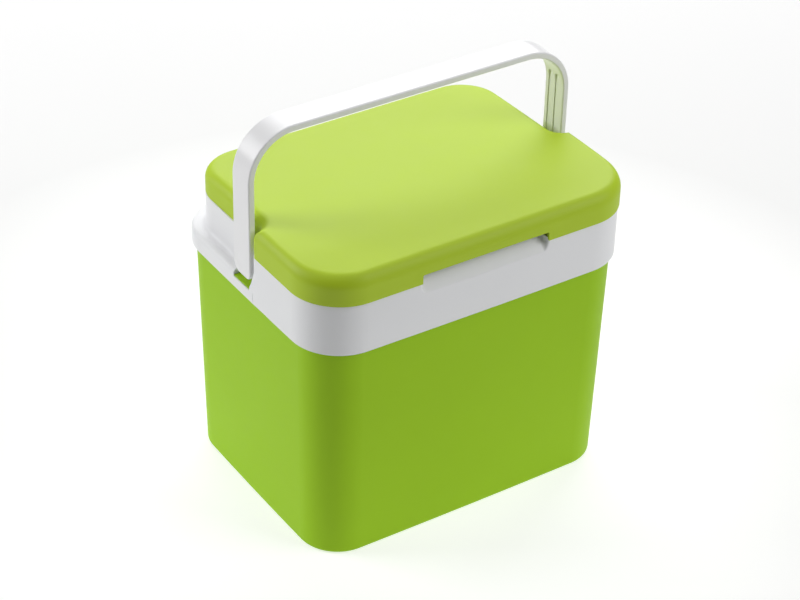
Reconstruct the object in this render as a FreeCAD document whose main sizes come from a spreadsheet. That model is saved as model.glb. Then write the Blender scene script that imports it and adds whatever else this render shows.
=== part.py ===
"""Insulated cool box, about 10 litres, with a lift-off lid and a swinging carrying handle.

Frame: origin on the ground under the middle of the box, +X to the right of a person who
faces the front, -Y out of the front, +Z up. Lengths are in millimetres.
"""

import math
import os

import FreeCAD
import Part
import Sketcher

Vector = FreeCAD.Vector
UP = Vector(0, 0, 1)

SIZES = {
    # outer tub
    "tub_half_width": 142.1,
    "tub_half_depth": 108.3,
    "tub_height": 212.0,
    "tub_flare": 3.85,
    "tub_corner": 35.5,
    "tub_corner_top": 36.9,
    "tub_wall": 2.4,
    "tub_floor": 3.0,
    "tub_base_round": 3.0,
    "side_bow": 1.1,
    "foot_ring": 13.0,
    "foot_depth": 1.0,
    "tub_flange_gap": 0.3,
    "tub_flange_thick": 2.4,
    "slot_tab_gap": 0.25,
    "slot_tab_margin": 2.0,
    "slot_tab_lip": 1.2,
    "slot_tab_reach": 149.4,
    # collar round the top of the tub
    "collar_half_width": 150.0,
    "collar_half_depth": 116.1,
    "collar_corner": 42.6,
    "collar_bottom": 201.8,
    "collar_top": 249.7,
    "collar_wall": 2.5,
    "collar_edge_round": 0.8,
    "shoulder_bottom": 212.1,
    "ledge_top": 217.5,
    "ledge_round": 3.5,
    "ledge_fillet": 4.4,
    "step_front": 17.5,
    "neck_half_width": 139.7,
    "neck_half_depth": 105.8,
    "neck_corner": 37.0,
    "slot_sill": 211.8,
    "slot_rear": 15.1,
    "slot_back_bottom": 209.5,
    "gusset_bottom": 212.3,
    "gusset_top": 233.0,
    "gusset_reach": 8.0,
    "seam_width": 0.4,
    "seam_depth": 0.3,
    "seam_front": 14.5,
    "finger_half_width": 59.0,
    "finger_bottom": 238.0,
    "finger_depth": 9.1,
    "finger_lip_round": 1.6,
    "finger_end_round": 4.0,
    # handle and its pivots
    "pivot_height": 233.3,
    "pivot_radius": 5.0,
    "pivot_gap": 0.08,
    "handle_half_width": 150.8,
    "handle_top": 350.3,
    "handle_bottom": 221.3,
    "handle_thick": 5.6,
    "handle_band": 25.0,
    "handle_bend": 42.0,
    "handle_toe_rear": 9.0,
    "handle_toe_front": 6.0,
    "handle_edge_round": 1.4,
    "handle_groove_width": 7.0,
    "handle_groove_depth": 0.8,
    "handle_groove_centre": 4.5,
    "handle_groove_bottom": 246.0,
    "handle_groove_top": 319.0,
    "pivot_tip": 137.6,
    # inner liner
    "mouth_half_width": 127.0,
    "mouth_half_depth": 93.0,
    "mouth_corner": 26.0,
    "liner_taper": 4.5,
    "liner_wall": 2.0,
    "liner_floor_top": 27.7,
    "liner_base_round": 9.0,
    "liner_flange": 5.5,
    "liner_flange_thick": 1.8,
    # insulation between the tub and the liner
    "panel_thick": 12.5,
    "panel_gap": 0.4,
    "panel_top": 208.8,
    "floor_panel_inset": 0.6,
    # lid
    "lid_bottom": 250.0,
    "lid_top": 273.0,
    "lid_rear_drop": 4.3,
    "lid_slope_start": 6.0,
    "lid_slope_end": 115.0,
    "lid_front_half_width": 150.7,
    "lid_front_half_depth": 116.8,
    "lid_front_corner": 44.0,
    "lid_rear_half_width": 138.6,
    "lid_rear_half_depth": 105.5,
    "lid_rear_corner": 36.0,
    "lid_wall": 2.4,
    "lid_round": 8.0,
    "lid_finger_rise": 5.5,
    "lid_finger_round": 1.6,
    "plug_half_width": 125.0,
    "plug_half_depth": 91.0,
    "plug_corner": 24.0,
    "plug_bottom": 238.0,
    "plug_wall": 2.0,
    "plug_draft": 1.0,
    "plug_flange_bottom": 250.3,
    "plug_flange_thick": 2.2,
    "plug_flange_gap": 0.8,
}

doc = FreeCAD.newDocument("CoolBox")
sheet = doc.addObject("Spreadsheet::Sheet", "Dimensions")
for row, (alias, number) in enumerate(SIZES.items(), 1):
    sheet.set(f"A{row}", alias)
    sheet.set(f"B{row}", str(number))
    sheet.setAlias(f"B{row}", alias)
doc.recompute()


class Size:
    """A number together with the sheet expression that gives it."""

    def __init__(self, value, text):
        self.value = value
        self.text = text

    def _join(self, sign, other, value):
        text = other.text if isinstance(other, Size) else str(other)
        return Size(value, f"({self.text} {sign} {text})")

    def __add__(self, other):
        return self._join("+", other, self.value + number_of(other))

    def __sub__(self, other):
        return self._join("-", other, self.value - number_of(other))

    def __mul__(self, other):
        return self._join("*", other, self.value * number_of(other))

    def __truediv__(self, other):
        return self._join("/", other, self.value / number_of(other))

    def __neg__(self):
        return self * -1


def number_of(size):
    return size.value if isinstance(size, Size) else size


def dim(alias):
    return Size(SIZES[alias], f"Dimensions.{alias}")


def bind(thing, attribute, size):
    thing.setExpression(attribute, size.text)


# ---------------------------------------------------------------- outlines and sketches


class Outline:
    """A rectangle with round corners and slightly bowed sides, centred on the Z axis."""

    def __init__(self, half_x, half_y, corner):
        self.half_x = half_x
        self.half_y = half_y
        self.corner = corner
        self.bow = dim("side_bow")
        self.radius_x = self.side_radius(half_y)
        self.radius_y = self.side_radius(half_x)

    def side_radius(self, half_length):
        """The radius of a side that is twice half_length long and bows out by bow."""
        return (half_length * half_length + self.bow * self.bow) / (self.bow * 2)

    def inset(self, amount):
        """The same outline, a constant amount further in."""
        smaller = Outline(self.half_x - amount, self.half_y - amount, self.corner - amount)
        smaller.radius_x = self.radius_x - amount
        smaller.radius_y = self.radius_y - amount
        return smaller


def draw_outline(sketch, outline):
    """Draw the eight tangent arcs of an outline and bind them to the sheet."""
    half_x, half_y = outline.half_x.value, outline.half_y.value
    corner = outline.corner.value
    radius_x, radius_y = outline.radius_x.value, outline.radius_y.value
    side_centre = Vector(half_x - radius_x, 0, 0)
    end_centre = Vector(0, half_y - radius_y, 0)
    corner_centre = touching_centre(side_centre, radius_x - corner, end_centre, radius_y - corner)
    side_turn = (corner_centre - side_centre).getAngle(Vector(1, 0, 0))
    end_turn = (corner_centre - end_centre).getAngle(Vector(1, 0, 0))

    def arc(centre, radius, start, end):
        circle = Part.Circle(centre, UP, radius)
        return sketch.addGeometry(Part.ArcOfCircle(circle, start, end), False)

    def corner_at(sign_x, sign_y, start, end):
        centre = Vector(sign_x * corner_centre.x, sign_y * corner_centre.y, 0)
        return arc(centre, corner, start, end)

    right = arc(side_centre, radius_x, -side_turn, side_turn)
    corner_at(1, 1, side_turn, end_turn)
    rear = arc(end_centre, radius_y, end_turn, math.pi - end_turn)
    corner_at(-1, 1, math.pi - end_turn, math.pi - side_turn)
    left = arc(-side_centre, radius_x, math.pi - side_turn, math.pi + side_turn)
    corner_at(-1, -1, math.pi + side_turn, math.pi + end_turn)
    front = arc(-end_centre, radius_y, math.pi + end_turn, 2 * math.pi - end_turn)
    corner_at(1, -1, -end_turn, -side_turn)

    add = sketch.addConstraint
    for index in range(8):
        add(Sketcher.Constraint("Tangent", index, 2, (index + 1) % 8, 1))

    def bound(size, kind, *where):
        index = add(Sketcher.Constraint(kind, *where, size.value))
        sketch.setExpression(f"Constraints[{index}]", size.text)

    add(Sketcher.Constraint("PointOnObject", right, 3, -1))
    add(Sketcher.Constraint("PointOnObject", left, 3, -1))
    add(Sketcher.Constraint("PointOnObject", rear, 3, -2))
    add(Sketcher.Constraint("PointOnObject", front, 3, -2))
    bound(outline.radius_x - outline.half_x, "DistanceX", right, 3, -1, 1)
    bound(outline.radius_x - outline.half_x, "DistanceX", -1, 1, left, 3)
    bound(outline.radius_y - outline.half_y, "DistanceY", rear, 3, -1, 1)
    bound(outline.radius_y - outline.half_y, "DistanceY", -1, 1, front, 3)
    bound(outline.radius_x, "Radius", right)
    bound(outline.radius_x, "Radius", left)
    bound(outline.radius_y, "Radius", rear)
    bound(outline.radius_y, "Radius", front)
    for index in (1, 3, 5, 7):
        bound(outline.corner, "Radius", index)


def touching_centre(first, first_reach, second, second_reach):
    """The point in the first quadrant at the two given distances from two centres."""
    between = second - first
    gap = between.Length
    along = (first_reach**2 - second_reach**2 + gap**2) / (2 * gap)
    aside = (first_reach**2 - along**2) ** 0.5
    direction = between.normalize()
    normal = Vector(direction.y, -direction.x, 0)
    points = [first + direction * along + normal * (aside * side) for side in (1, -1)]
    return max(points, key=lambda point: point.x + point.y)


def draw_polygon(sketch, points):
    """Draw a closed polygon whose corners are pairs of sizes, bound to the sheet."""
    count = len(points)
    corners = [Vector(number_of(x), number_of(y), 0) for x, y in points]
    for index in range(count):
        sketch.addGeometry(Part.LineSegment(corners[index], corners[(index + 1) % count]), False)
    for index, (x, y) in enumerate(points):
        sketch.addConstraint(
            Sketcher.Constraint("Coincident", index, 2, (index + 1) % count, 1)
        )
        for kind, size in (("DistanceX", x), ("DistanceY", y)):
            place_point(sketch, kind, index, 1, size)


def place_point(sketch, kind, geometry, point, size):
    """Fix one coordinate of a sketch point, bound to the sheet."""
    constraint = sketch.addConstraint(
        Sketcher.Constraint(kind, -1, 1, geometry, point, number_of(size))
    )
    if isinstance(size, Size):
        sketch.setExpression(f"Constraints[{constraint}]", size.text)


# ---------------------------------------------------------------- features


def new_body(label):
    body = doc.addObject("PartDesign::Body", label)
    body.Label = label
    return body


def body_sketch(body, name, role, offset=None):
    """A sketch on one of a body's own origin planes, moved along the plane's normal."""
    sketch = body.newObject("Sketcher::SketchObject", name)
    plane = next(item for item in body.Origin.OriginFeatures if item.Role == role)
    sketch.AttachmentSupport = [(plane, "")]
    sketch.MapMode = "FlatFace"
    if offset is not None:
        bind(sketch, ".AttachmentOffset.Base.z", offset)
    return sketch


def body_outline(body, name, outline, height):
    sketch = body_sketch(body, name, "XY_Plane", height)
    draw_outline(sketch, outline)
    return sketch


def body_feature(body, name, kind, sketch, length, **options):
    feature = body.newObject(f"PartDesign::{kind}", name)
    feature.Profile = (sketch, [""])
    bind(feature, "Length", length)
    for option, value in options.items():
        setattr(feature, option, value)
    doc.recompute()
    return feature


def body_fillet(body, name, base, radius, test):
    """Round the edges of a body's feature that pass a test of their shape."""
    fillet = body.newObject("PartDesign::Fillet", name)
    fillet.Base = (base, [f"Edge{index}" for index in edges_where(base.Shape, test)])
    bind(fillet, "Radius", radius)
    doc.recompute()
    return fillet


def edges_where(shape, test):
    found = [index for index, edge in enumerate(shape.Edges, 1) if test(edge.BoundBox)]
    if not found:
        raise ValueError("no edge of the shape passes the test")
    return found


def at_height(height):
    """A test for edges that lie level at one height."""
    level = number_of(height)
    return lambda box: abs(box.ZMin - level) < 0.01 and abs(box.ZMax - level) < 0.01


def prism(name, outline, bottom, top):
    """A solid of an outline between two heights, as an extruded sketch."""
    sketch = doc.addObject("Sketcher::SketchObject", f"{name}_sketch")
    draw_outline(sketch, outline)
    bind(sketch, ".Placement.Base.z", bottom)
    solid = doc.addObject("Part::Extrusion", name)
    solid.Base = sketch
    solid.DirMode = "Custom"
    solid.Dir = UP
    solid.Solid = True
    bind(solid, "LengthFwd", top - bottom)
    return solid


def tapered(name, outline_at, bottom, top):
    """A solid that follows an outline which changes evenly between two heights."""
    solid = doc.addObject("Part::Loft", name)
    sections = []
    for level, height in (("low", bottom), ("high", top)):
        sketch = doc.addObject("Sketcher::SketchObject", f"{name}_{level}")
        draw_outline(sketch, outline_at(height))
        bind(sketch, ".Placement.Base.z", height)
        sections.append(sketch)
    solid.Sections = sections
    solid.Solid = True
    return solid


def box(name, low, high):
    """A box between two corners, each of three sizes."""
    solid = doc.addObject("Part::Box", name)
    for axis, length, start, end in zip("xyz", ("Length", "Width", "Height"), low, high):
        bind(solid, f".Placement.Base.{axis}", start)
        bind(solid, length, end - start)
    return solid


def side_profile(name, points, left, right):
    """A solid between two X positions whose section in the YZ plane is a polygon."""
    sketch = doc.addObject("Sketcher::SketchObject", f"{name}_sketch")
    draw_polygon(sketch, points)
    quarter = 90
    rotation = FreeCAD.Rotation(UP, quarter) * FreeCAD.Rotation(Vector(1, 0, 0), quarter)
    sketch.Placement = FreeCAD.Placement(Vector(0, 0, 0), rotation)
    bind(sketch, ".Placement.Base.x", left)
    solid = doc.addObject("Part::Extrusion", name)
    solid.Base = sketch
    solid.DirMode = "Custom"
    solid.Dir = Vector(1, 0, 0)
    solid.Solid = True
    bind(solid, "LengthFwd", right - left)
    return solid


def cut(name, base, tool):
    result = doc.addObject("Part::Cut", name)
    result.Base = base
    result.Tool = tool
    return result


def fuse(name, *shapes):
    result = doc.addObject("Part::MultiFuse", name)
    result.Shapes = list(shapes)
    result.Refine = True
    return result


def rounded(name, base, *rounds):
    """Round edges of a solid: each of rounds is a radius and the test that finds its edges."""
    doc.recompute()
    fillet = doc.addObject("Part::Fillet", name)
    fillet.Base = base
    fillet.Edges = [
        (index, radius.value, radius.value)
        for radius, test in rounds
        for index in edges_where(base.Shape, test)
    ]
    return fillet


def labelled(solid, label):
    solid.Label = label
    return solid


# ---------------------------------------------------------------- shared sizes

FAR = Size(200.0, "200")
ZERO = Size(0.0, "0")

collar_outline = Outline(
    dim("collar_half_width"), dim("collar_half_depth"), dim("collar_corner")
)
neck_outline = Outline(dim("neck_half_width"), dim("neck_half_depth"), dim("neck_corner"))
mouth_outline = Outline(dim("mouth_half_width"), dim("mouth_half_depth"), dim("mouth_corner"))
lid_front_outline = Outline(
    dim("lid_front_half_width"), dim("lid_front_half_depth"), dim("lid_front_corner")
)
lid_rear_outline = Outline(
    dim("lid_rear_half_width"), dim("lid_rear_half_depth"), dim("lid_rear_corner")
)


def tub_outline(height):
    """The tub's outer outline at a height: its sides lean out a little on the way up."""
    share = height / dim("tub_height")
    grown = dim("tub_flare") * share
    corner = dim("tub_corner") + (dim("tub_corner_top") - dim("tub_corner")) * share
    return Outline(dim("tub_half_width") + grown, dim("tub_half_depth") + grown, corner)


def liner_outline(height):
    """The liner's inner outline at a height: it narrows from the mouth to the floor."""
    mouth_height = dim("collar_top") - dim("collar_wall")
    share = (mouth_height - height) / (mouth_height - dim("liner_floor_top"))
    return mouth_outline.inset(dim("liner_taper") * share)


# ---------------------------------------------------------------- sub-parts


def make_outer_tub():
    top, floor, wall = dim("tub_height"), dim("tub_floor"), dim("tub_wall")
    base_round = (dim("tub_base_round"), at_height(ZERO))
    shell = rounded("TubShell", tapered("TubForm", tub_outline, ZERO, top), base_round)
    flange_outline = collar_outline.inset(dim("collar_wall") + dim("tub_flange_gap"))
    flange = prism("TubFlange", flange_outline, top - dim("tub_flange_thick"), top)
    cavity = tapered("TubCavity", lambda height: tub_outline(height).inset(wall), floor, top + 1)
    recess = prism(
        "BaseRecess", tub_outline(ZERO).inset(dim("foot_ring")), ZERO - 1, dim("foot_depth")
    )
    solid = cut("TubHollowed", fuse("TubWithFlange", shell, flange), cavity)

    # a tab on each side of the rim closes the collar's handle slot from below, and its lip
    # hooks over the collar's wall
    gap, margin = dim("slot_tab_gap"), dim("slot_tab_margin")
    slot_front, slot_rear = -dim("step_front") + dim("gusset_reach"), dim("slot_rear")
    inner, outer = dim("neck_half_width") + gap, dim("tub_half_width") + wall
    reach, low = dim("slot_tab_reach"), top - dim("tub_flange_thick")
    tabs = []
    for side, left, right, lip_left, lip_right in (
        ("Left", -outer, -inner, -reach, -inner),
        ("Right", inner, outer, inner, reach),
    ):
        front, rear = slot_front - margin, slot_rear + margin
        lip_front, lip_rear = slot_front + gap, slot_rear - gap
        lip_top = top + dim("slot_tab_lip")
        tabs += [
            box(f"SlotTab{side}", (left, front, low), (right, rear, top)),
            box(f"SlotLip{side}", (lip_left, lip_front, top), (lip_right, lip_rear, lip_top)),
        ]
    solid = fuse("TubWithTabs", solid, *tabs)
    return labelled(cut("OuterTub", solid, recess), "outer_tub")


def stepped_block(name, inset, top):
    """The collar's outer form, or its hollow when inset: full height at the front and a low
    ledge with a narrower neck at the sides and rear."""
    band = prism(f"{name}_band", collar_outline.inset(inset), dim("collar_bottom"), top)
    neck = prism(f"{name}_neck", neck_outline.inset(inset), dim("collar_bottom"), top)
    space = box(
        f"{name}_space",
        (-FAR, -dim("step_front") - inset, dim("ledge_top") - inset),
        (FAR, FAR, top + 1),
    )
    above_ledge = cut(f"{name}_above_ledge", space, neck)
    return cut(f"{name}_block", band, above_ledge)


def make_rim_collar():
    wall = dim("collar_wall")
    half_width = dim("collar_half_width")
    step, ledge, top = dim("step_front"), dim("ledge_top"), dim("collar_top")
    neck = dim("neck_half_width")
    outside = stepped_block("CollarOuter", ZERO, top)

    def ledge_rim(edge_box):
        beyond_neck = edge_box.YMax > number_of(dim("neck_half_depth")) + 5
        beside_neck = max(edge_box.XMax, -edge_box.XMin) > neck.value + 5
        return at_height(ledge)(edge_box) and edge_box.YMax > -step.value and (
            beyond_neck or beside_neck
        )

    def ledge_root(edge_box):
        level = at_height(ledge)(edge_box)
        return level and not ledge_rim(edge_box) and edge_box.YMax > -step.value + 0.01

    outside = rounded(
        "CollarRounded",
        outside,
        (dim("ledge_round"), ledge_rim),
        (dim("ledge_fillet"), ledge_root),
        (dim("collar_edge_round"), at_height(dim("collar_bottom"))),
    )

    hollow = stepped_block("CollarInner", wall, top - wall)
    shoulder = cut(
        "ShoulderRing",
        prism("ShoulderOuter", collar_outline.inset(wall), dim("shoulder_bottom"), ledge - wall),
        prism("ShoulderInner", collar_outline.inset(wall * 2), dim("shoulder_bottom"), ledge - wall),
    )
    shell = cut("CollarShell", outside, cut("CollarHollow", hollow, shoulder))

    # the wall behind the finger pocket slopes like the pocket and starts below its lip
    front = -dim("collar_half_depth")
    low, deep = dim("finger_bottom"), dim("finger_depth")
    end = dim("finger_half_width")
    backing = side_profile(
        "FingerBacking",
        [
            (front + 1, low - wall),
            (front + wall, low - wall),
            (front + deep + wall, top - wall),
            (front + deep + wall, top),
            (front + 1, top),
        ],
        -end - wall,
        end + wall,
    )
    pocket = side_profile(
        "FingerPocketForm",
        [
            (front - 5, low),
            (front, low),
            (front + deep, top),
            (front + deep, top + 5),
            (front - 5, top + 5),
        ],
        -end,
        end,
    )

    def pocket_end(edge_box):
        at_end = edge_box.XLength < 0.01 and edge_box.YLength > 1
        return at_end and edge_box.ZLength > 1 and edge_box.YMin > front.value - 0.01

    pocket = rounded("FingerPocket", pocket, (dim("finger_end_round"), pocket_end))

    # gussets at the foot of the slots' front walls
    gussets = [
        side_profile(
            f"Gusset{side}",
            [
                (-step - 1, dim("gusset_bottom")),
                (-step + dim("gusset_reach"), dim("gusset_bottom")),
                (-step, dim("gusset_top")),
                (-step - 1, dim("gusset_top")),
            ],
            left,
            right,
        )
        for side, left, right in (
            ("Left", -half_width + 0.05, -neck + 1),
            ("Right", neck - 1, half_width - 0.05),
        )
    ]

    # a wall below the neck closes the inner side of each slot
    slot_backs = [
        box(
            f"SlotBack{side}",
            (left, -step - wall, dim("slot_back_bottom")),
            (left + wall, dim("slot_rear") + wall, ledge),
        )
        for side, left in (("Left", -neck), ("Right", neck - wall))
    ]

    # each slot is open outwards above its sill and deeper between the neck and the outer wall
    slots = []
    inner_face = half_width - wall
    for side, left, right, open_left, open_right in (
        ("Left", -inner_face, -neck, -FAR, -neck),
        ("Right", neck, inner_face, neck, FAR),
    ):
        front, rear = -step + dim("gusset_reach"), dim("slot_rear")
        deep = dim("slot_back_bottom")
        slots += [
            box(f"SlotDeep{side}", (left, front, deep), (right, rear, ledge)),
            box(f"SlotOpen{side}", (open_left, front, dim("slot_sill")), (open_right, rear, ledge + 4)),
        ]

    # a fine seam line down each side, in front of the slot
    seam_face = half_width - dim("seam_depth")
    seams = [
        box(
            f"Seam{side}",
            (left, -dim("seam_front") - dim("seam_width"), dim("collar_bottom") - 1),
            (right, -dim("seam_front"), dim("slot_sill")),
        )
        for side, left, right in (("Left", -FAR, -seam_face), ("Right", seam_face, FAR))
    ]

    pivot = doc.addObject("Part::Cylinder", "PivotHoles")
    bind(pivot, "Radius", dim("pivot_radius") + dim("pivot_gap"))
    bind(pivot, "Height", neck * 2 + 2)
    pivot.Placement = FreeCAD.Placement(
        Vector(0, 0, 0), FreeCAD.Rotation(Vector(0, 1, 0), 90)
    )
    bind(pivot, ".Placement.Base.x", -neck - 1)
    bind(pivot, ".Placement.Base.z", dim("pivot_height"))

    mouth = prism("CollarMouth", mouth_outline, ledge, top + 1)
    solid = fuse("CollarWalls", shell, backing, *slot_backs)
    openings = fuse("CollarOpenings", pocket, mouth, pivot, *slots, *seams)
    solid = fuse("CollarWithGussets", cut("CollarOpened", solid, openings), *gussets)

    lip, face = dim("finger_bottom").value, -dim("collar_half_depth").value

    def finger_lip(edge_box):
        near_lip = abs(edge_box.ZMin - lip) < 0.5 and edge_box.ZLength < 1
        return near_lip and edge_box.XLength > end.value / 2 and edge_box.YMax < face + 1

    return labelled(
        rounded("RimCollar", solid, (dim("finger_lip_round"), finger_lip)), "rim_collar"
    )


def make_inner_liner():
    wall = dim("liner_wall")
    top = dim("collar_top") - dim("collar_wall")
    floor = dim("liner_floor_top")
    base_round = dim("liner_base_round")
    outer = rounded(
        "LinerShell",
        tapered("LinerForm", lambda height: liner_outline(height).inset(-wall), floor - wall, top),
        (base_round + wall, at_height(floor - wall)),
    )
    flange_outline = mouth_outline.inset(-wall - dim("liner_flange"))
    flange = prism("LinerFlange", flange_outline, top - dim("liner_flange_thick"), top)
    cavity = rounded(
        "LinerCavity",
        tapered("LinerCavityForm", liner_outline, floor, top + 1),
        (base_round, at_height(floor)),
    )
    solid = cut("InnerLiner", fuse("LinerWithFlange", outer, flange), cavity)
    return labelled(solid, "inner_liner")


def make_insulation_floor():
    body = new_body("insulation_floor")
    gap = dim("panel_gap")
    bottom = dim("tub_floor") + gap / 2
    top = dim("liner_floor_top") - dim("liner_wall") - gap
    outline = tub_outline(bottom).inset(dim("tub_wall") + dim("floor_panel_inset"))
    body_feature(
        body, "Panel", "Pad", body_outline(body, "PanelOutline", outline, bottom), top - bottom
    )
    return body


def make_insulation_wall(label, plane, sign, across, along):
    """A flat foam panel between the tub and the liner, leaning like the liner's side.

    plane is the origin plane of its section, sign the side of the box, across names the
    half size of the mouth towards the panel and along the one that it runs along.
    """
    body = new_body(label)
    gap = dim("panel_gap")
    bottom = dim("liner_floor_top") - dim("liner_wall")
    top = dim("panel_top")

    def inner_face(height):
        mouth = dim(f"mouth_half_{across}") + dim("liner_wall") + gap
        mouth_height = dim("collar_top") - dim("collar_wall")
        share = (mouth_height - height) / (mouth_height - dim("liner_floor_top"))
        return mouth - dim("liner_taper") * share

    sketch = body_sketch(body, "Section", plane)
    low, high, thick = inner_face(bottom), inner_face(top), dim("panel_thick")
    points = [(low, bottom), (low + thick, bottom), (high + thick, top), (high, top)]
    draw_polygon(sketch, [(x if sign > 0 else -x, z) for x, z in points])
    length = (dim(f"mouth_half_{along}") - dim("mouth_corner")) * 2
    body_feature(body, "Panel", "Pad", sketch, length, Midplane=True)
    return body


def lid_block(name, inset):
    """The lid's form, or its hollow when inset: a wide front part that ends at the step and a
    narrower rear part whose top falls evenly towards the rear."""
    step = dim("step_front") + inset
    bottom, top = dim("lid_bottom"), dim("lid_top") - inset
    front_whole = prism(f"{name}_front_whole", lid_front_outline.inset(inset), bottom, top)
    behind = box(f"{name}_behind", (-FAR, -step, bottom - 1), (FAR, FAR, top + 1))
    rear_whole = prism(f"{name}_rear_whole", lid_rear_outline.inset(inset), bottom, top)
    slope_start, slope_end = -dim("lid_slope_start"), dim("lid_slope_end")
    low = top - dim("lid_rear_drop")
    above = side_profile(
        f"{name}_above",
        [
            (slope_start, top),
            (slope_end, low),
            (slope_end, top + 1),
            (slope_start, top + 1),
        ],
        -FAR,
        FAR,
    )
    radius = dim("lid_round") - inset

    def top_edge(edge_box):
        ridge = edge_box.YLength < 0.01 and abs(edge_box.YMin - slope_start.value) < 0.01
        return edge_box.ZMin > number_of(low) - 1 and not ridge

    front = rounded(
        f"{name}_front",
        cut(f"{name}_front_part", front_whole, behind),
        (radius, at_height(top)),
    )
    rear = rounded(
        f"{name}_rear", cut(f"{name}_rear_part", rear_whole, above), (radius, top_edge)
    )
    return fuse(f"{name}_block", front, rear)


def make_lid_cover():
    wall = dim("lid_wall")
    bottom = dim("lid_bottom")
    shell = cut("LidShell", lid_block("LidOuter", ZERO), lid_block("LidInner", wall))
    end = dim("finger_half_width")
    front = -dim("lid_front_half_depth")
    rise = bottom + dim("lid_finger_rise")
    notch = box(
        "LidFingerNotchForm", (-end, front - 1, bottom - 1), (end, front + wall + 1, rise)
    )

    def notch_end(edge_box):
        return at_height(rise)(edge_box) and edge_box.XLength < 0.01

    notch = rounded("LidFingerNotch", notch, (dim("lid_finger_round"), notch_end))
    return labelled(cut("LidCover", shell, notch), "lid_cover")


def plug_outline(height):
    """The lid's plug narrows a little from its flange to its underside."""
    flange = dim("plug_flange_bottom")
    share = (flange - height) / (flange - dim("plug_bottom"))
    whole = Outline(dim("plug_half_width"), dim("plug_half_depth"), dim("plug_corner"))
    return whole.inset(dim("plug_draft") * share)


def make_lid_liner():
    wall = dim("plug_wall")
    bottom, flange = dim("plug_bottom"), dim("plug_flange_bottom")
    top = flange + dim("plug_flange_thick")
    plug = rounded(
        "Plug", tapered("PlugForm", plug_outline, bottom, top), (wall, at_height(bottom))
    )
    rim = lid_rear_outline.inset(dim("lid_wall") + dim("plug_flange_gap"))
    tray = tapered("Tray", lambda height: plug_outline(height).inset(wall), bottom + wall, top + 1)
    solid = fuse("PlugWithFlange", plug, prism("PlugFlange", rim, flange, top))
    return labelled(cut("LidLiner", solid, tray), "lid_liner")


def make_lid_insulation():
    body = new_body("lid_insulation")
    gap = dim("panel_gap")
    bottom = dim("plug_bottom") + dim("plug_wall") + gap
    top = dim("lid_top") - dim("lid_wall") - dim("lid_rear_drop") - gap
    outline = plug_outline(bottom).inset(dim("plug_wall") + gap)
    sketch = body_outline(body, "PanelOutline", outline, bottom)
    body_feature(body, "Panel", "Pad", sketch, top - bottom)
    return body


def draw_arch(sketch, inset_out, inset_in, bottom):
    """The band of the handle between two insets from its outer face, open at the bottom."""
    half, top, bend = dim("handle_half_width"), dim("handle_top"), dim("handle_bend")
    centre_x, centre_z = half - bend, top - bend
    add_line = Part.LineSegment
    quarter = math.pi / 2

    def at(x, z):
        return Vector(number_of(x), number_of(z), 0)

    def arc(side, inset):
        circle = Part.Circle(at(centre_x * side, centre_z), UP, (bend - inset).value)
        start = 0 if side > 0 else quarter
        return Part.ArcOfCircle(circle, start, start + quarter)

    def chain(inset):
        """Leg, bend, crossbar, bend, leg at one inset: six corner points and five curves."""
        x, z = half - inset, top - inset
        curves = [
            add_line(at(x, bottom), at(x, centre_z)),
            arc(1, inset),
            add_line(at(centre_x, z), at(-centre_x, z)),
            arc(-1, inset),
            add_line(at(-x, centre_z), at(-x, bottom)),
        ]
        return [sketch.addGeometry(curve, False) for curve in curves]

    outer = chain(inset_out)
    inner = chain(inset_in)
    out_x, in_x = half - inset_out, half - inset_in
    right_foot = sketch.addGeometry(add_line(at(out_x, bottom), at(in_x, bottom)), False)
    left_foot = sketch.addGeometry(add_line(at(-out_x, bottom), at(-in_x, bottom)), False)

    def join(kind, *where):
        sketch.addConstraint(Sketcher.Constraint(kind, *where))

    for chain_curves in (outer, inner):
        right_leg, right_bend, bar, left_bend, left_leg = chain_curves
        join("Tangent", right_leg, 2, right_bend, 1)
        join("Tangent", right_bend, 2, bar, 1)
        join("Tangent", bar, 2, left_bend, 1)
        join("Tangent", left_bend, 2, left_leg, 1)
        join("Horizontal", bar)
        join("Vertical", right_leg)
        join("Vertical", left_leg)
    join("Coincident", outer[0], 1, right_foot, 1)
    join("Coincident", inner[0], 1, right_foot, 2)
    join("Coincident", outer[4], 2, left_foot, 1)
    join("Coincident", inner[4], 2, left_foot, 2)
    for foot in (right_foot, left_foot):
        join("Horizontal", foot)
    for chain_curves, inset in ((outer, inset_out), (inner, inset_in)):
        place_point(sketch, "DistanceX", chain_curves[0], 1, half - inset)
        place_point(sketch, "DistanceX", chain_curves[4], 2, -(half - inset))
        place_point(sketch, "DistanceY", chain_curves[2], 1, top - inset)
        for bend_curve in (chain_curves[1], chain_curves[3]):
            index = sketch.addConstraint(
                Sketcher.Constraint("Radius", bend_curve, (bend - inset).value)
            )
            sketch.setExpression(f"Constraints[{index}]", (bend - inset).text)
    place_point(sketch, "DistanceY", right_foot, 1, bottom)
    place_point(sketch, "DistanceY", left_foot, 1, bottom)


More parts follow.
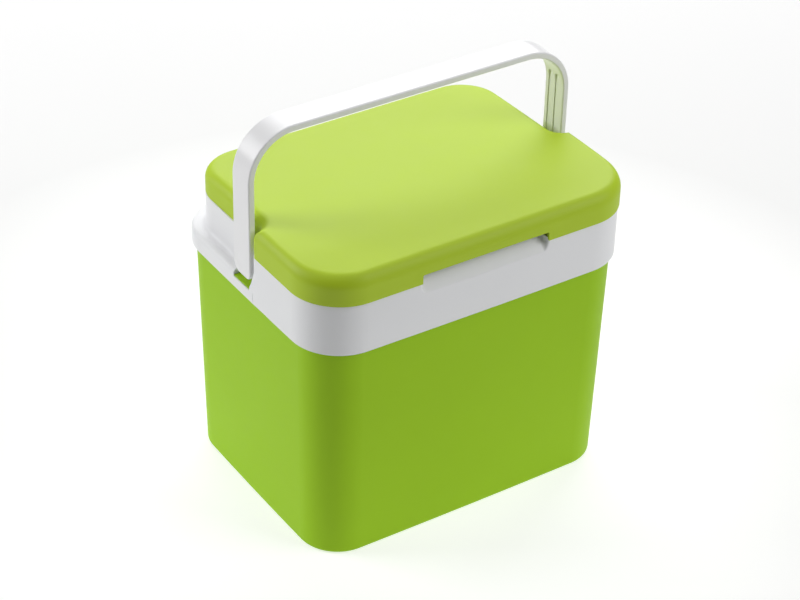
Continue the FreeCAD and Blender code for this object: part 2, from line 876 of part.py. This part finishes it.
def draw_slot(sketch, centre, radius, bottom, top):
    """Draw an upright slot with round ends about a horizontal position."""
    first = sketch.GeometryCount
    x, low, high = centre.value, (bottom + radius).value, (top - radius).value
    reach = radius.value
    left, right = x - reach, x + reach

    def end(height, start):
        circle = Part.Circle(Vector(x, height, 0), UP, reach)
        return Part.ArcOfCircle(circle, start, start + math.pi)

    for curve in (
        Part.LineSegment(Vector(right, low, 0), Vector(right, high, 0)),
        end(high, 0),
        Part.LineSegment(Vector(left, high, 0), Vector(left, low, 0)),
        end(low, math.pi),
    ):
        sketch.addGeometry(curve, False)
    for index in range(4):
        sketch.addConstraint(
            Sketcher.Constraint("Tangent", first + index, 2, first + (index + 1) % 4, 1)
        )
    sketch.addConstraint(Sketcher.Constraint("Vertical", first))
    place_point(sketch, "DistanceX", first + 1, 3, centre)
    place_point(sketch, "DistanceY", first + 1, 3, top - radius)
    place_point(sketch, "DistanceY", first + 3, 3, bottom + radius)
    index = sketch.addConstraint(Sketcher.Constraint("Radius", first + 1, reach))
    sketch.setExpression(f"Constraints[{index}]", radius.text)


def make_handle():
    body = new_body("handle")
    thick, band = dim("handle_thick"), dim("handle_band")
    bottom = dim("handle_bottom")
    arch_sketch = body_sketch(body, "ArchOutline", "XZ_Plane")
    draw_arch(arch_sketch, ZERO, thick, bottom)
    arch = body_feature(body, "Arch", "Pad", arch_sketch, band, Midplane=True)

    half_band = band.value / 2

    def toe(side):
        def test(edge_box):
            return at_height(bottom)(edge_box) and abs(edge_box.YMin - side * half_band) < 0.01 and (
                edge_box.YLength < 0.01
            )

        return test

    arch = body_fillet(body, "RearToes", arch, dim("handle_toe_rear"), toe(1))
    arch = body_fillet(body, "FrontToes", arch, dim("handle_toe_front"), toe(-1))

    def long_edge(edge_box):
        in_side_face = edge_box.YLength < 0.01 and abs(abs(edge_box.YMin) - half_band) < 0.01
        return in_side_face and edge_box.ZLength + edge_box.XLength > thick.value + 1

    body_fillet(body, "BandRound", arch, dim("handle_edge_round"), long_edge)

    # two shallow channels along the inner face of each leg, with a rib between them
    channel_face = dim("handle_half_width") - thick + dim("handle_groove_depth")
    channels = body_sketch(body, "ChannelOutline", "YZ_Plane", channel_face)
    for side in (-1, 1):
        draw_slot(
            channels,
            dim("handle_groove_centre") * side,
            dim("handle_groove_width") / 2,
            dim("handle_groove_bottom"),
            dim("handle_groove_top"),
        )
    channel_cut = body_feature(body, "ChannelsRight", "Pocket", channels, thick)

    tip = dim("pivot_tip")
    boss_sketch = body_sketch(body, "PivotOutline", "YZ_Plane", tip)
    centre = Vector(0, dim("pivot_height").value, 0)
    circle = boss_sketch.addGeometry(
        Part.Circle(centre, UP, dim("pivot_radius").value), False
    )
    index = boss_sketch.addConstraint(
        Sketcher.Constraint("Radius", circle, dim("pivot_radius").value)
    )
    boss_sketch.setExpression(f"Constraints[{index}]", dim("pivot_radius").text)
    boss_sketch.addConstraint(Sketcher.Constraint("PointOnObject", circle, 3, -2))
    place_point(boss_sketch, "DistanceY", circle, 3, dim("pivot_height"))
    leg_middle = dim("handle_half_width") - thick / 2
    boss = body_feature(body, "PivotRight", "Pad", boss_sketch, leg_middle - tip)
    mirrored = body.newObject("PartDesign::Mirrored", "LeftLeg")
    mirrored.Originals = [channel_cut, boss]
    plane = next(item for item in body.Origin.OriginFeatures if item.Role == "YZ_Plane")
    mirrored.MirrorPlane = (plane, [""])
    body.Tip = mirrored
    return body


def all_subparts():
    return [
        make_outer_tub(),
        make_rim_collar(),
        make_inner_liner(),
        make_insulation_floor(),
        make_insulation_wall("insulation_front", "YZ_Plane", -1, "depth", "width"),
        make_insulation_wall("insulation_rear", "YZ_Plane", 1, "depth", "width"),
        make_insulation_wall("insulation_left", "XZ_Plane", -1, "width", "depth"),
        make_insulation_wall("insulation_right", "XZ_Plane", 1, "width", "depth"),
        make_lid_cover(),
        make_lid_liner(),
        make_lid_insulation(),
        make_handle(),
    ]


subparts = all_subparts()
doc.recompute()

for item in doc.Objects:
    failed = {"Invalid", "Error"} & set(item.State)
    if failed:
        raise RuntimeError(f"{item.Name} ({item.Label}) failed: {item.State}")
for item in subparts:
    if item.Shape.isNull() or not item.Shape.isValid() or len(item.Shape.Solids) != 1:
        raise RuntimeError(f"{item.Label} isn't one valid solid")

os.makedirs("parts", exist_ok=True)
for item in subparts:
    item.Shape.exportStep(f"parts/{item.Label}.step")
    print(item.Label, round(item.Shape.Volume / 1000, 1), "cm3", item.Shape.BoundBox)
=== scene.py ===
"""Looks of the insulated cool box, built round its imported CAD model. Lengths are in metres."""

import math

import bmesh
import bpy
import numpy as np
from mathutils import Matrix, Vector


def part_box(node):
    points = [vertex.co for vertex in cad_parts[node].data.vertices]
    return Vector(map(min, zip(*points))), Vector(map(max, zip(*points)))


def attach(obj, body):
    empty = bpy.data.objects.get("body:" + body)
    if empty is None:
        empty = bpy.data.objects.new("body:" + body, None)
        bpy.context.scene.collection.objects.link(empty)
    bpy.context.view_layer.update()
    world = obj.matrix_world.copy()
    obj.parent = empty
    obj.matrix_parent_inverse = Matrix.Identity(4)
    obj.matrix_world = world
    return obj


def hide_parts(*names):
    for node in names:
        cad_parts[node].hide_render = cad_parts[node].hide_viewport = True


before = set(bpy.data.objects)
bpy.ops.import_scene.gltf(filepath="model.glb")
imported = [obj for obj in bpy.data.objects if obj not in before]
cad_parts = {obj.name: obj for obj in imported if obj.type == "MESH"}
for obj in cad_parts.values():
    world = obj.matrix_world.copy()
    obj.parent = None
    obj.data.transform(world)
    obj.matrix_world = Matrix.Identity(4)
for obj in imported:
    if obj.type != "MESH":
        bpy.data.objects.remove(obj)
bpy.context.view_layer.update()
MM = 0.001

# ---------------------------------------------------------------- colours (linear RGB)

TUB_GREEN = (0.325, 0.57, 0.008)
# The lid's green is the tub's green with its red raised. This is a painted highlight tint, so the
# brightly lit top reads pale yellow-green. The skirt gets the same tint.
LID_GREEN_PAINTED_HIGHLIGHT = (0.415, 0.575, 0.008)
PALE_GREY = (0.79, 0.795, 0.81)
HANDLE_WHITE = (0.80, 0.80, 0.81)
LINER_WHITE = (0.82, 0.82, 0.81)
FOAM_WHITE = (0.86, 0.86, 0.85)
FLOOR_GREY = (0.6, 0.6, 0.6)
WHITE = (1, 1, 1, 1)


# ---------------------------------------------------------------- materials


class Nodes:
    """A material's node tree, with the few steps that every plastic here shares."""

    def __init__(self, name):
        self.material = bpy.data.materials.new(name)
        self.material.use_nodes = True
        self.tree = self.material.node_tree
        self.shader = self.tree.nodes["Principled BSDF"]
        coordinates = self.add("ShaderNodeTexCoord")
        self.place = coordinates.outputs["Object"]

    def add(self, kind, **settings):
        node = self.tree.nodes.new(kind)
        for key, value in settings.items():
            setattr(node, key, value)
        return node

    def link(self, source, target):
        self.tree.links.new(source, target)

    def noise(self, scale, detail=2.0, roughness=0.5):
        node = self.add("ShaderNodeTexNoise")
        node.inputs["Scale"].default_value = scale
        node.inputs["Detail"].default_value = detail
        node.inputs["Roughness"].default_value = roughness
        self.link(self.place, node.inputs["Vector"])
        return node.outputs["Fac"]

    def spread(self, source, low, high):
        """Map a 0 to 1 pattern onto a range."""
        node = self.add("ShaderNodeMapRange")
        node.inputs["To Min"].default_value = low
        node.inputs["To Max"].default_value = high
        self.link(source, node.inputs["Value"])
        return node.outputs["Result"]

    def tint(self, source, colour, low, high):
        """The colour, made a little darker and lighter by a pattern."""
        node = self.add("ShaderNodeMix", data_type="RGBA")
        dark = [channel * low for channel in colour]
        light = [min(channel * high, 1.0) for channel in colour]
        node.inputs[6].default_value = (*dark, 1)
        node.inputs[7].default_value = (*light, 1)
        self.link(source, node.inputs["Factor"])
        return node.outputs[2]

    def bump(self, source, strength, distance, previous=None):
        node = self.add("ShaderNodeBump")
        node.inputs["Strength"].default_value = strength
        node.inputs["Distance"].default_value = distance
        self.link(source, node.inputs["Height"])
        if previous is not None:
            self.link(previous, node.inputs["Normal"])
        return node.outputs["Normal"]


WAVE_HEIGHT = 0.8 * MM
GRAIN_HEIGHT = 0.06 * MM
BEAD_HEIGHT = 0.6 * MM
GLOSS_SPREAD = 0.035


def moulded_plastic(name, colour, roughness, grain, waviness, shine):
    """Injection-moulded plastic: fine spark-eroded grain and the faint waves of a real
    moulding, with a little unevenness of colour and gloss."""
    nodes = Nodes(name)
    shader = nodes.shader
    clouds = nodes.noise(9.0, detail=3.0)
    texture = nodes.noise(2600.0, detail=2.0, roughness=0.6)
    waves = nodes.noise(14.0, detail=1.0)
    nodes.link(nodes.tint(clouds, colour, 0.965, 1.03), shader.inputs["Base Color"])
    nodes.link(
        nodes.spread(
            nodes.noise(60.0, detail=4.0), roughness - GLOSS_SPREAD, roughness + GLOSS_SPREAD
        ),
        shader.inputs["Roughness"],
    )
    normal = nodes.bump(waves, waviness, WAVE_HEIGHT)
    normal = nodes.bump(texture, grain, GRAIN_HEIGHT, normal)
    nodes.link(normal, shader.inputs["Normal"])
    shader.inputs["Specular IOR Level"].default_value = shine
    return nodes.material


def bead_foam(name, colour):
    """Expanded polystyrene: closely packed beads about 3 mm across."""
    nodes = Nodes(name)
    beads = nodes.add("ShaderNodeTexVoronoi", feature="SMOOTH_F1")
    beads.inputs["Scale"].default_value = 330.0
    beads.inputs["Smoothness"].default_value = 0.35
    nodes.link(nodes.place, beads.inputs["Vector"])
    distance = beads.outputs["Distance"]
    # Painted shade: each bead is coloured darker towards its rim, where the bump sinks into the
    # gaps between beads.
    nodes.link(nodes.tint(distance, colour, 1.03, 0.86), nodes.shader.inputs["Base Color"])
    nodes.shader.inputs["Roughness"].default_value = 0.82
    nodes.link(nodes.bump(distance, 0.6, -BEAD_HEIGHT), nodes.shader.inputs["Normal"])
    return nodes.material


tub_green = moulded_plastic("tub_green", TUB_GREEN, 0.52, 0.30, 0.015, 0.15)
# The lid's plastic carries a painted highlight tint: red raised over the tub's green.
lid_green_painted_highlight = moulded_plastic("lid_green_painted_highlight", LID_GREEN_PAINTED_HIGHLIGHT, 0.55, 0.30, 0.01, 0.45)
pale = moulded_plastic("pale_collar", PALE_GREY, 0.42, 0.20, 0.02, 0.35)
handle_white = moulded_plastic("handle_white", HANDLE_WHITE, 0.30, 0.02, 0.004, 0.45)
liner_white = moulded_plastic("liner_white", LINER_WHITE, 0.36, 0.1, 0.03, 0.4)
foam = bead_foam("bead_foam", FOAM_WHITE)

NODE_MATERIALS = {
    "outer_tub": tub_green,
    "lid_cover": lid_green_painted_highlight,
    "rim_collar": pale,
    "inner_liner": liner_white,
    "lid_liner": liner_white,
    "handle": handle_white,
}


def dress(piece, material):
    piece.data.materials.clear()
    piece.data.materials.append(material)


for name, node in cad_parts.items():
    dress(node, NODE_MATERIALS.get(name, foam))


# ---------------------------------------------------------------- lid cover

LID_LOW, LID_HIGH = (np.array(corner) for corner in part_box("lid_cover"))

LID_SIDE_ROUND = 9 * MM
LID_FRONT_ROUND = 11 * MM
LID_FRONT_FALL = 0.4 * MM
LID_WALL = 2.4 * MM
LID_STEP_Y = -17.5 * MM
LID_FRONT_CORNER = 44 * MM
LID_REAR_CORNER = 36 * MM
LID_REAR_HALF_WIDTH = 138.6 * MM
LID_REAR_DROP = 4.2 * MM
LID_SLOPE_START = -40 * MM
LID_SLOPE_POWER = 1.5
LID_STEP_ROUND = 2.5 * MM
LID_STEP_BLEND = 12 * MM
LID_FALL_START, LID_FALL_END = 60 * MM, 120 * MM
LID_ROUND_START, LID_ROUND_END = 55 * MM, 112 * MM
LID_MARGIN = 4 * MM
LID_CELL = 1.6 * MM
SURFACE_STEPS = 6

NOTCH_HALF_WIDTH = 59 * MM
NOTCH_DEPTH = 6 * MM
NOTCH_RISE = 5.5 * MM
NOTCH_BELOW = 10 * MM
NOTCH_ROUND = 1.2 * MM


def rectangle_distance(x, y, half_x, half_y, corner):
    """Signed distance in plan to a rectangle with round corners, negative inside."""
    out_x = np.abs(x) - (half_x - corner)
    out_y = np.abs(y) - (half_y - corner)
    outside = np.hypot(np.maximum(out_x, 0), np.maximum(out_y, 0))
    return outside + np.minimum(np.maximum(out_x, out_y), 0) - corner


def round_and(first, second, radius):
    """Where both fields are negative, with the corner between them rounded."""
    over = np.hypot(np.maximum(first + radius, 0), np.maximum(second + radius, 0))
    return np.minimum(np.maximum(first, second), -radius) + over


def round_or(first, second, radius):
    """Where either field is negative, with the inner corner between them filled round."""
    under = np.hypot(np.maximum(radius - first, 0), np.maximum(radius - second, 0))
    return np.maximum(np.minimum(first, second), radius) - under


def lid_plan(x, y):
    """Signed distance in plan to the lid's outline: wide in front of the handle, narrow behind."""
    front = rectangle_distance(x, y, LID_HIGH[0], -LID_LOW[1], LID_FRONT_CORNER)
    front = round_and(front, y - LID_STEP_Y, LID_STEP_ROUND)
    rear = rectangle_distance(x, y, LID_REAR_HALF_WIDTH, LID_HIGH[1], LID_REAR_CORNER)
    return round_or(front, rear, LID_STEP_BLEND)


def smooth_ramp(value, start, end):
    share = np.clip((value - start) / (end - start), 0, 1)
    return share * share * (3 - 2 * share)


def lid_top(y):
    """Height of the lid's top, which falls away ever more towards the rear and at the front."""
    share = np.maximum(y - LID_SLOPE_START, 0) / (LID_HIGH[1] - LID_SLOPE_START)
    front = LID_FRONT_FALL * smooth_ramp(-y, LID_FALL_START, LID_FALL_END)
    return LID_HIGH[2] - LID_REAR_DROP * share**LID_SLOPE_POWER - front


def lid_round(y):
    """Radius of the lid's top edge, largest along the front."""
    grown = LID_FRONT_ROUND - LID_SIDE_ROUND
    return LID_SIDE_ROUND + grown * smooth_ramp(-y, LID_ROUND_START, LID_ROUND_END)


def lid_field(points):
    x, y, z = points[..., 0], points[..., 1], points[..., 2]
    radius = lid_round(y)
    side = lid_plan(x, y) + radius
    over = z - (lid_top(y) - radius)
    corner = np.hypot(np.maximum(side, 0), np.maximum(over, 0))
    return corner + np.minimum(np.maximum(side, over), 0) - radius


def surface_net(field, low, high, cell):
    """Quads on a field's zero surface: one point in each grid cell that the surface crosses."""
    counts = np.ceil((high - low) / cell).astype(int) + 1
    axes = [low[axis] + cell * np.arange(counts[axis]) for axis in range(3)]
    grid = np.stack(np.meshgrid(*axes, indexing="ij"), axis=-1)
    inside = field(grid) < 0
    cells = np.zeros(np.array(inside.shape) - 1, dtype=int)
    corners = [(i, j, k) for i in (0, 1) for j in (0, 1) for k in (0, 1)]
    for i, j, k in corners:
        span = [slice(o, o + size) for o, size in zip((i, j, k), cells.shape)]
        cells += inside[tuple(span)]
    mixed = (cells > 0) & (cells < len(corners))
    index = np.full(cells.shape, -1)
    index[mixed] = np.arange(mixed.sum())
    points = low + cell * (np.argwhere(mixed) + 0.5)
    for _ in range(SURFACE_STEPS):
        points = step_to_surface(field, points, cell)
    return points, np.concatenate([crossing_quads(inside, index, axis) for axis in range(3)])


def step_to_surface(field, points, cell):
    """Move points along the field's gradient to its zero surface, at most a cell at a time."""
    small = cell * 0.05
    value = field(points)
    gradient = np.stack(
        [
            (field(points + small * unit) - field(points - small * unit)) / (2 * small)
            for unit in np.eye(3)
        ],
        axis=-1,
    )
    square = np.maximum((gradient**2).sum(axis=-1), 0.25)
    step = np.clip(value / square, -cell, cell)
    return points - gradient * step[..., None]


def crossing_quads(inside, index, axis):
    """One quad round each grid edge along an axis that the surface crosses."""
    first = np.moveaxis(inside, axis, 0)
    order = np.moveaxis(index, axis, 0)
    change = first[:-1, 1:-1, 1:-1] != first[1:, 1:-1, 1:-1]
    i, j, k = np.nonzero(change)
    quad = np.stack(
        [order[i, j, k], order[i, j + 1, k], order[i, j + 1, k + 1], order[i, j, k + 1]], axis=-1
    )
    forward = first[:-1, 1:-1, 1:-1][i, j, k]
    if axis == 1:
        forward = ~forward
    quad[~forward] = quad[~forward][:, ::-1]
    return quad


def mesh_piece(name, points, faces):
    mesh = bpy.data.meshes.new(name)
    mesh.from_pydata([tuple(point) for point in points], [], [tuple(face) for face in faces])
    mesh.validate()
    piece = bpy.data.objects.new(name, mesh)
    bpy.context.collection.objects.link(piece)
    return piece


def rounded_cutter(name, low, high, radius, axis):
    """A box whose four edges along one axis are rounded, to cut with."""
    made = bmesh.new()
    bmesh.ops.create_cube(made, size=1.0)
    size = Vector(high) - Vector(low)
    middle = (Vector(high) + Vector(low)) / 2
    bmesh.ops.scale(made, vec=size, verts=made.verts)
    bmesh.ops.translate(made, vec=middle, verts=made.verts)
    edges = [
        edge
        for edge in made.edges
        if abs((edge.verts[0].co - edge.verts[1].co).normalized()[axis]) > 0.9
    ]
    bmesh.ops.bevel(made, geom=edges, offset=radius, segments=6, affect="EDGES", profile=0.5)
    mesh = bpy.data.meshes.new(name)
    made.to_mesh(mesh)
    made.free()
    cutter = bpy.data.objects.new(name, mesh)
    bpy.context.collection.objects.link(cutter)
    return cutter


def apply_modifiers(piece):
    """Turn a piece's modifiers into its mesh."""
    graph = bpy.context.evaluated_depsgraph_get()
    made = bpy.data.meshes.new_from_object(piece.evaluated_get(graph))
    piece.modifiers.clear()
    piece.data = made


def subtract(piece, cutter):
    modifier = piece.modifiers.new("cut", "BOOLEAN")
    modifier.operation = "DIFFERENCE"
    modifier.solver = "EXACT"
    modifier.object = cutter
    apply_modifiers(piece)
    bpy.data.objects.remove(cutter)


def smooth(piece, angle=35):
    """Shade smooth, except across edges sharper than an angle in degrees."""
    piece.data.shade_smooth()
    made = bmesh.new()
    made.from_mesh(piece.data)
    for edge in made.edges:
        if len(edge.link_faces) == 2:
            edge.smooth = edge.calc_face_angle(0) < math.radians(angle)
    made.to_mesh(piece.data)
    made.free()


def lid_cover():
    points, quads = surface_net(lid_field, LID_LOW - LID_MARGIN, LID_HIGH + LID_MARGIN, LID_CELL)
    piece = mesh_piece("lid_cover_shell", points, quads)
    made = bmesh.new()
    made.from_mesh(piece.data)
    bmesh.ops.bisect_plane(
        made,
        geom=[*made.verts, *made.edges, *made.faces],
        plane_co=(0, 0, LID_LOW[2]),
        plane_no=(0, 0, -1),
        clear_outer=True,
    )
    bmesh.ops.recalc_face_normals(made, faces=made.faces)
    top_face = max(made.faces, key=lambda face: face.calc_center_median().z)
    if top_face.normal.z < 0:
        bmesh.ops.reverse_faces(made, faces=made.faces)
    made.to_mesh(piece.data)
    made.free()
    shell = piece.modifiers.new("wall", "SOLIDIFY")
    shell.thickness = LID_WALL
    shell.offset = -1
    apply_modifiers(piece)
    notch_low = (-NOTCH_HALF_WIDTH, LID_LOW[1] - LID_MARGIN, LID_LOW[2] - NOTCH_BELOW)
    notch_high = (NOTCH_HALF_WIDTH, LID_LOW[1] + NOTCH_DEPTH, LID_LOW[2] + NOTCH_RISE)
    subtract(piece, rounded_cutter("lid_notch", notch_low, notch_high, NOTCH_ROUND, 1))
    dress(piece, lid_green_painted_highlight)
    smooth(piece)
    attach(piece, "lid")
    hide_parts("lid_cover")


lid_cover()


# ---------------------------------------------------------------- floor, light, camera


FLOOR_SIZE = 12
FLOOR_DROP = 0.3 * MM
# Painted light: the floor glows, brightest near the box and fading outward. This lifts it to white
# and fills the box's shade on the floor and on its lower sides.
GLOW_NEAR, GLOW_FAR = 0.64, 0.20
GLOW_START, GLOW_END = 0.12, 0.55


def studio_floor():
    bpy.ops.mesh.primitive_plane_add(size=FLOOR_SIZE, location=(0, 0, -FLOOR_DROP))
    floor = bpy.context.object
    floor.name = "studio_floor"
    nodes = Nodes("studio_floor")
    colour = nodes.tint(nodes.noise(3.0), FLOOR_GREY, 0.995, 1.0)
    nodes.link(colour, nodes.shader.inputs["Base Color"])
    nodes.shader.inputs["Roughness"].default_value = 0.9
    nodes.shader.inputs["Specular IOR Level"].default_value = 0.1
    # Painted light: emission that falls off with distance from the box.
    distance = nodes.add("ShaderNodeVectorMath", operation="LENGTH")
    nodes.link(nodes.place, distance.inputs[0])
    glow = nodes.spread(distance.outputs["Value"], GLOW_NEAR, GLOW_FAR)
    glow.node.inputs["From Min"].default_value = GLOW_START
    glow.node.inputs["From Max"].default_value = GLOW_END
    nodes.shader.inputs["Emission Color"].default_value = WHITE
    nodes.link(glow, nodes.shader.inputs["Emission Strength"])
    dress(floor, nodes.material)


def soft_light(name, place, target, size, power):
    data = bpy.data.lights.new(name, "AREA")
    data.shape = "RECTANGLE"
    data.size, data.size_y = size
    data.energy = power
    light = bpy.data.objects.new(name, data)
    light.location = place
    direction = Vector(target) - Vector(place)
    light.rotation_euler = direction.to_track_quat("-Z", "Y").to_euler()
    bpy.context.collection.objects.link(light)


CAMERA_AZIMUTH, CAMERA_ELEVATION = -33.9, 34.2
CAMERA_ROLL = 0.026
CAMERA_DISTANCE = 1.959
CAMERA_SHIFT_RIGHT, CAMERA_SHIFT_UP = -0.0013, -0.0046
AIM_HEIGHT = 0.150
SENSOR_WIDTH, LENS = 36, 106.5


def studio_camera():
    azimuth, elevation = math.radians(CAMERA_AZIMUTH), math.radians(CAMERA_ELEVATION)
    back = Vector(
        (
            math.sin(azimuth) * math.cos(elevation),
            -math.cos(azimuth) * math.cos(elevation),
            math.sin(elevation),
        )
    )
    right = Vector((math.cos(azimuth), math.sin(azimuth), 0))
    up = back.cross(right)
    right, up = (
        right * math.cos(CAMERA_ROLL) + up * math.sin(CAMERA_ROLL),
        up * math.cos(CAMERA_ROLL) - right * math.sin(CAMERA_ROLL),
    )
    data = bpy.data.cameras.new("camera")
    data.sensor_width = SENSOR_WIDTH
    data.lens = LENS
    data.clip_start, data.clip_end = 0.05, 50
    camera = bpy.data.objects.new("camera", data)
    place = Vector((0, 0, AIM_HEIGHT)) + back * CAMERA_DISTANCE
    place += right * CAMERA_SHIFT_RIGHT + up * CAMERA_SHIFT_UP
    turn = Matrix((right, up, back)).transposed().to_4x4()
    camera.matrix_world = Matrix.Translation(place) @ turn
    bpy.context.collection.objects.link(camera)
    bpy.context.scene.camera = camera


studio_floor()
# name, place, target, size, power in watts
soft_light("overhead", (0.0, 0.0, 1.9), (0, 0, 0.1), (3.0, 2.2), 16)
soft_light("back", (1.1, 1.6, 1.4), (0, 0, 0.25), (2.6, 1.4), 45)
soft_light("left", (-1.8, 1.4, 1.15), (0, 0, 0.15), (1.2, 1.2), 35)
soft_light("front", (1.5, -1.7, 1.6), (0, 0, 0.15), (1.4, 1.4), 31)

scene = bpy.context.scene
scene.view_settings.view_transform = "Standard"
world = bpy.data.worlds.new("studio")
world.use_nodes = True
background = world.node_tree.nodes["Background"]
background.inputs["Color"].default_value = WHITE
background.inputs["Strength"].default_value = 0.02
scene.world = world
studio_camera()
